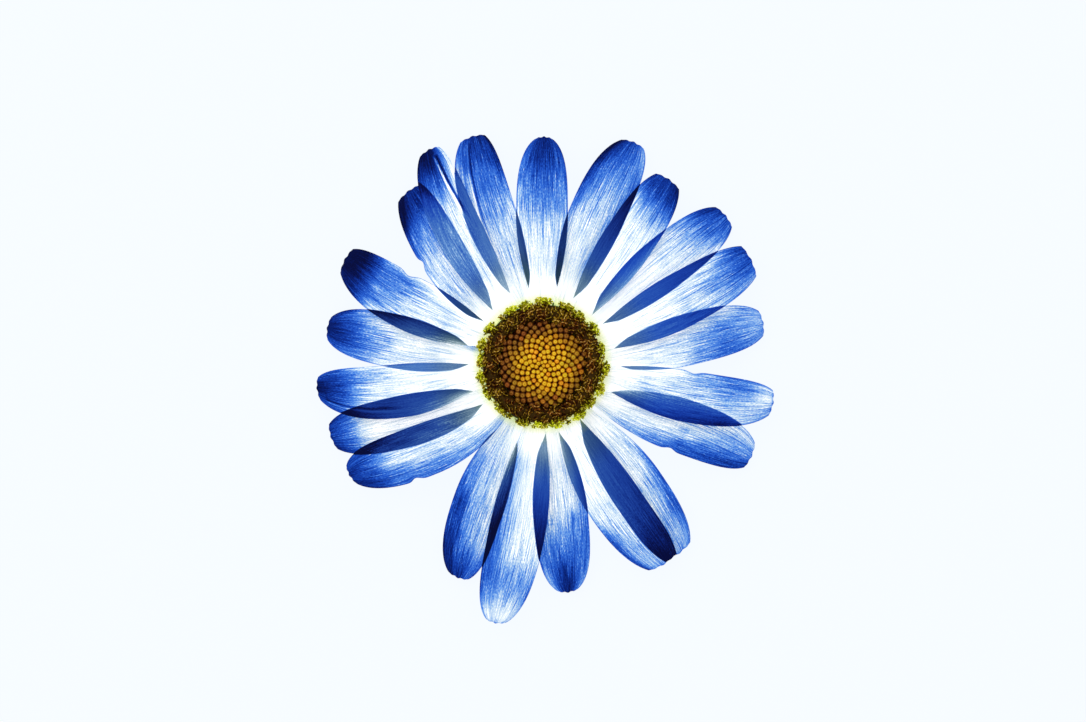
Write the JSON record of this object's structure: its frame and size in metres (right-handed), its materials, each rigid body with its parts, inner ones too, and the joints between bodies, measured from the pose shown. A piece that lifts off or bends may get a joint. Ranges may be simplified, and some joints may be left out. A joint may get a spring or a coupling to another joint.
{
  "type": "daisy flower head",
  "caption": "Cut daisy-type flower head, face up on its flat-cut base: long blue-tipped white petals in two layers round a gold and brown disc, over a green scaly cup.",
  "frame": {"origin": "the head's axis at the flat underside of its green cup, which rests on the surface", "axes": "+Z along the head's axis, up out of the disc; +Y towards the petal at the top of the picture, +X to the picture's right"},
  "size_m": [0.0575, 0.0615, 0.0084],
  "materials": {
    "ray_blue": "soft matt petal, white at the base, blue at the tip, finely streaked",
    "floret_gold": "waxy satin buds, golden in the middle, orange-brown outwards",
    "floret_brown": "matt dark brown and olive open florets",
    "floret_lime": "matt yellow-green floret tips",
    "bract_green": "matt green scales with thin brown papery margins"
  },
  "bodies": {
    "root": {"involucre": "bract_green", "closed_florets": "floret_gold", "open_florets": "floret_brown", "rim_florets": "floret_lime", "ray_floret_01": "ray_blue", "ray_floret_02": "ray_blue", "ray_floret_03": "ray_blue", "ray_floret_04": "ray_blue", "ray_floret_05": "ray_blue", "ray_floret_06": "ray_blue", "ray_floret_07": "ray_blue", "ray_floret_08": "ray_blue", "ray_floret_09": "ray_blue", "ray_floret_10": "ray_blue", "ray_floret_11": "ray_blue", "ray_floret_12": "ray_blue", "ray_floret_13": "ray_blue", "ray_floret_14": "ray_blue", "ray_floret_15": "ray_blue", "ray_floret_16": "ray_blue", "ray_floret_17": "ray_blue", "ray_floret_18": "ray_blue", "ray_floret_19": "ray_blue", "ray_floret_20": "ray_blue", "ray_floret_21": "ray_blue"}
  },
  "joints": []
}
